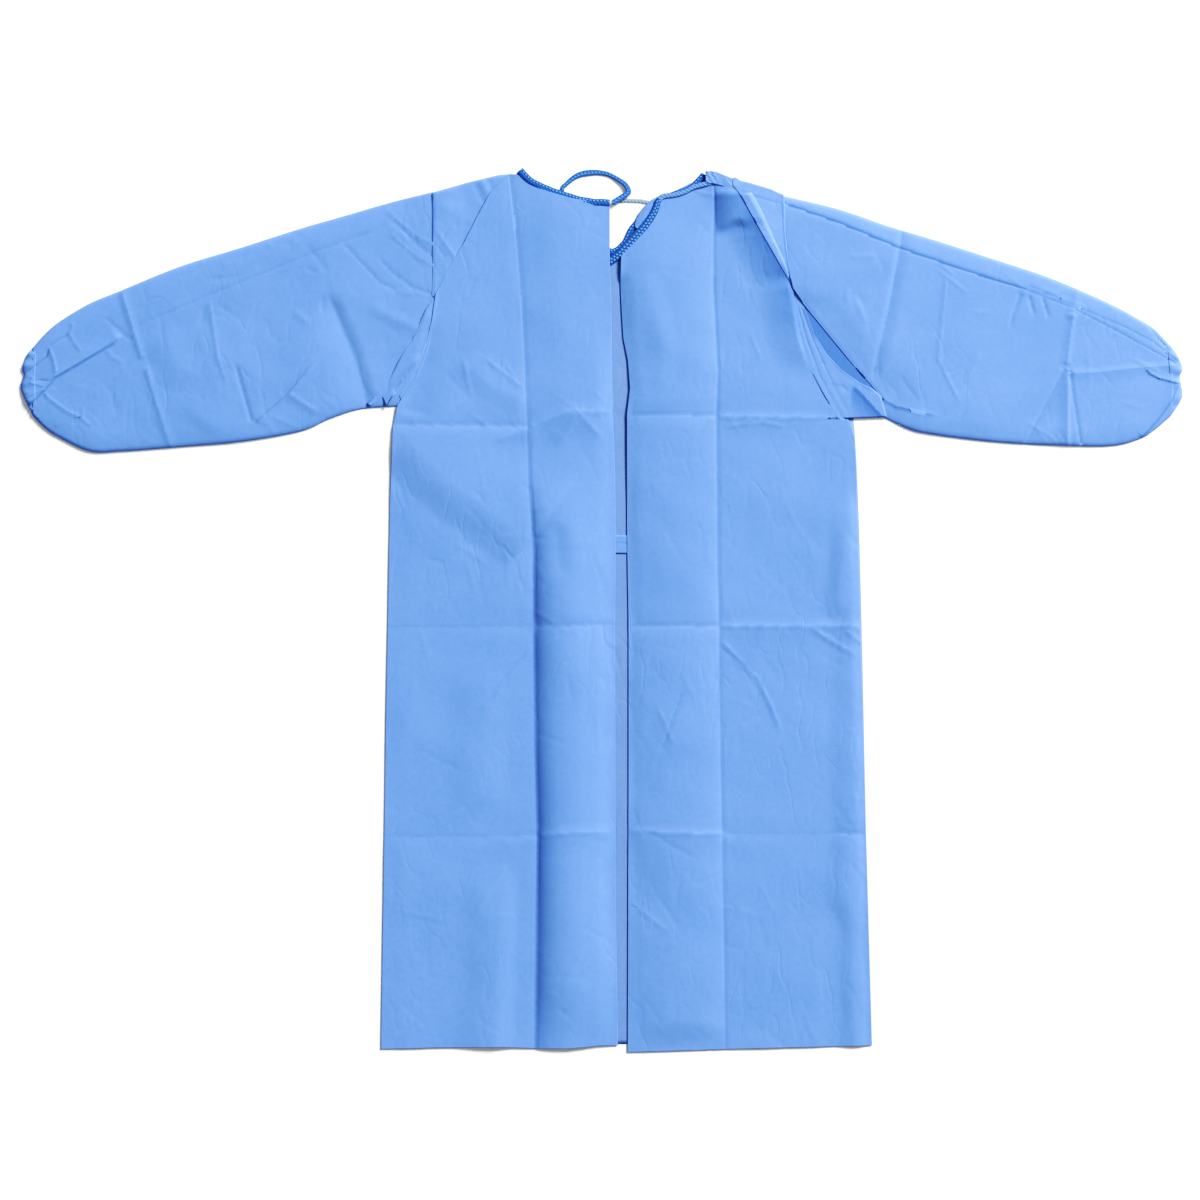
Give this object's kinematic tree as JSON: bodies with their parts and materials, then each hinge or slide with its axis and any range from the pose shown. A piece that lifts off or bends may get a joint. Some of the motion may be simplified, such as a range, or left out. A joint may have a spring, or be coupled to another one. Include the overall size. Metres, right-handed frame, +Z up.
{
  "type": "surgical gown",
  "caption": "Disposable long-sleeved surgical gown laid flat with its open back upwards, with bound neck, neck ties and gathered cuffs.",
  "frame": {"origin": "centre of the laid gown's box, on the surface it lies on", "axes": "+X to the right across the shoulders as seen from above, +Y towards the neck, +Z up from the surface"},
  "size_m": [1.568, 1.1902, 0.0062],
  "materials": {
    "cloth": "matte blue non-woven with a fine embossed grain",
    "cloth_inside": "matte blue non-woven, paler and greyer inner face",
    "binding": "folded non-woven strip, several layers, darker blue, stitched"
  },
  "bodies": {
    "root": {"cuff_left": "cloth", "cuff_right": "cloth", "sleeve_left": "cloth", "sleeve_right": "cloth", "back_panel_left": "cloth", "back_panel_right": "cloth", "front_panel": "cloth_inside", "waist_tie": "cloth", "neck_binding_front": "binding", "neck_binding_left": "binding", "neck_binding_right": "binding", "neck_tie_left": "binding", "neck_tie_right": "binding"}
  },
  "joints": []
}
